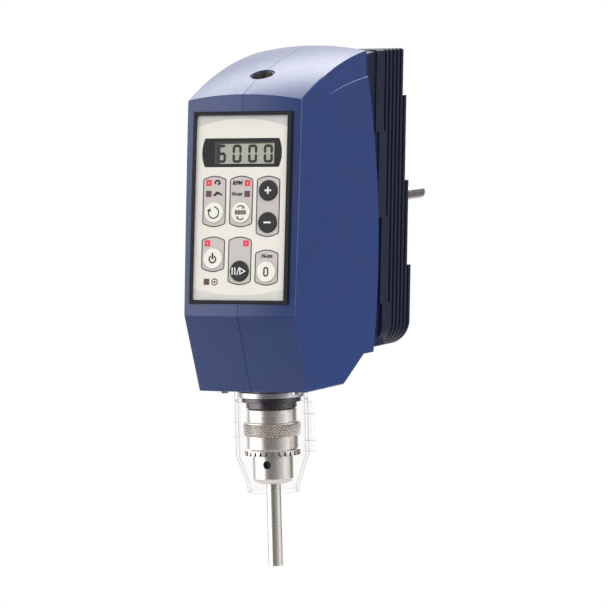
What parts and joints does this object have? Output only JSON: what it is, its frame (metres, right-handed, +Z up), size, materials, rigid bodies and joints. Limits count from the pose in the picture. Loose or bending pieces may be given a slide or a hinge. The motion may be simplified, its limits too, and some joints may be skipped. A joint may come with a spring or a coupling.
{
  "type": "overhead laboratory stirrer",
  "caption": "Overhead stirrer with a sloping keypad front, finned heat sink, hollow belt-driven spindle, keyed chuck in a clear guard, and a rear support rod.",
  "frame": {"origin": "on the support rod's axis at the heat sink's rear face, where the rod comes out", "axes": "+Z up along the spindle, +Y back along the support rod, +X to the right when facing the control panel"},
  "size_m": [0.0852, 0.3116, 0.3528],
  "materials": {
    "housing_blue": "satin",
    "sink_paint": "satin",
    "steel_rod": "satin",
    "zinc_steel": "satin",
    "bezel_black": "satin",
    "label_cream": "satin",
    "window_dark": "gloss",
    "display_grey": "gloss",
    "board_green": "matte",
    "component_black": "matte",
    "lamp_red": "gloss",
    "lamp_dark": "gloss",
    "key_white": "satin",
    "key_black": "satin",
    "cast_aluminium": "satin",
    "motor_steel": "satin",
    "belt_rubber": "matte",
    "bearing_steel": "gloss",
    "chuck_chrome": "gloss",
    "nose_black": "satin",
    "guard_clear": "gloss",
    "disc_dark": "satin",
    "inlet_black": "matte"
  },
  "bodies": {
    "stirrer": {"housing_left": "housing_blue", "housing_right": "housing_blue", "housing_screws": "zinc_steel", "heat_sink": "sink_paint", "support_rod": "steel_rod", "support_rod_nut": "zinc_steel", "bezel": "bezel_black", "label_panel": "label_cream", "display_window": "window_dark", "display": "display_grey", "control_board": "board_green", "key_switches": "component_black", "lamps_lit": "lamp_red", "lamps_dark": "lamp_dark", "cast_frame": "cast_aluminium", "frame_screws": "zinc_steel", "speed_sensor": "component_black", "motor_case": "motor_steel", "drive_belt": "belt_rubber", "lower_bearing_outer": "bearing_steel", "upper_bearing_outer": "bearing_steel", "power_board": "board_green", "board_posts": "zinc_steel", "power_components": "component_black", "power_inlet": "inlet_black", "inlet_screws": "zinc_steel", "top_bush": "nose_black", "nose_ring": "nose_black", "guard_collar": "guard_clear", "guard_rear": "guard_clear", "guard_hinge_pin": "zinc_steel"},
    "spindle": {"spindle": "bearing_steel", "spindle_pulley": "cast_aluminium", "spindle_nut": "zinc_steel", "encoder_disc": "disc_dark", "flinger": "nose_black", "lower_bearing_inner": "bearing_steel", "upper_bearing_inner": "bearing_steel", "chuck_body": "chuck_chrome"},
    "motor_rotor": {"motor_shaft": "zinc_steel", "motor_pulley": "cast_aluminium"},
    "chuck_sleeve": {"chuck_sleeve": "chuck_chrome", "chuck_nut": "zinc_steel"},
    "chuck_jaw_1": {"chuck_jaw_1": "zinc_steel"},
    "chuck_jaw_2": {"chuck_jaw_2": "zinc_steel"},
    "chuck_jaw_3": {"chuck_jaw_3": "zinc_steel"},
    "stirring_shaft": {"stirring_shaft": "steel_rod"},
    "guard_front": {"guard_front": "guard_clear"},
    "key_direction": {"key_direction": "key_white"},
    "key_mode": {"key_mode": "key_white"},
    "key_plus": {"key_plus": "key_black"},
    "key_minus": {"key_minus": "key_black"},
    "key_power": {"key_power": "key_white"},
    "key_run": {"key_run": "key_black"},
    "key_zero": {"key_zero": "key_white"}
  },
  "joints": [
    {"name": "spindle_spin", "type": "hinge", "parent": "stirrer", "child": "spindle", "pos_m": [0, -0.152, -0.119], "axis": [0, 0, 1], "continuous": true},
    {"name": "motor_spin", "type": "hinge", "parent": "stirrer", "child": "motor_rotor", "pos_m": [0, -0.107, 0.061], "axis": [0, 0, 1], "continuous": true},
    {"name": "chuck_sleeve_turn", "type": "hinge", "parent": "spindle", "child": "chuck_sleeve", "pos_m": [0, -0.152, -0.149], "axis": [0, 0, -1], "range_deg": [0, 1173]},
    {"name": "chuck_jaw_1_slide", "type": "slide", "parent": "spindle", "child": "chuck_jaw_1", "axis": [0.24, -0.097, 0.9659], "range_m": [0, 0.00522]},
    {"name": "chuck_jaw_2_slide", "type": "slide", "parent": "spindle", "child": "chuck_jaw_2", "axis": [-0.036, 0.2563, 0.9659], "range_m": [0, 0.00522]},
    {"name": "chuck_jaw_3_slide", "type": "slide", "parent": "spindle", "child": "chuck_jaw_3", "axis": [-0.204, -0.1593, 0.9659], "range_m": [0, 0.00522]},
    {"name": "stirring_shaft_slide", "type": "slide", "parent": "spindle", "child": "stirring_shaft", "axis": [0, 0, 1], "range_m": [-0.1, 0.05]},
    {"name": "guard_door", "type": "hinge", "parent": "stirrer", "child": "guard_front", "pos_m": [0.0284, -0.152, -0.145], "axis": [0, 0, 1], "range_deg": [0, 110]},
    {"name": "key_direction_press", "type": "slide", "parent": "stirrer", "child": "key_direction", "axis": [0, 0.9926, -0.1213], "range_m": [0, 0.0007], "stiffness_N_per_m": 1200, "springref_m": -0.0005},
    {"name": "key_mode_press", "type": "slide", "parent": "stirrer", "child": "key_mode", "axis": [0, 0.9926, -0.1213], "range_m": [0, 0.0007], "stiffness_N_per_m": 1200, "springref_m": -0.0005},
    {"name": "key_plus_press", "type": "slide", "parent": "stirrer", "child": "key_plus", "axis": [0, 0.9926, -0.1213], "range_m": [0, 0.0007], "stiffness_N_per_m": 1200, "springref_m": -0.0005},
    {"name": "key_minus_press", "type": "slide", "parent": "stirrer", "child": "key_minus", "axis": [0, 0.9926, -0.1213], "range_m": [0, 0.0007], "stiffness_N_per_m": 1200, "springref_m": -0.0005},
    {"name": "key_power_press", "type": "slide", "parent": "stirrer", "child": "key_power", "axis": [0, 0.9926, -0.1213], "range_m": [0, 0.0007], "stiffness_N_per_m": 1200, "springref_m": -0.0005},
    {"name": "key_run_press", "type": "slide", "parent": "stirrer", "child": "key_run", "axis": [0, 0.9926, -0.1213], "range_m": [0, 0.0007], "stiffness_N_per_m": 1200, "springref_m": -0.0005},
    {"name": "key_zero_press", "type": "slide", "parent": "stirrer", "child": "key_zero", "axis": [0, 0.9926, -0.1213], "range_m": [0, 0.0007], "stiffness_N_per_m": 1200, "springref_m": -0.0005}
  ],
  "couplings": [
    {"joint": "motor_spin", "follows": "spindle_spin", "ratio": 1.5},
    {"joint": "chuck_jaw_1_slide", "follows": "chuck_sleeve_turn", "m_per_rad": 0.00025465},
    {"joint": "chuck_jaw_2_slide", "follows": "chuck_sleeve_turn", "m_per_rad": 0.00025465},
    {"joint": "chuck_jaw_3_slide", "follows": "chuck_sleeve_turn", "m_per_rad": 0.00025465}
  ]
}
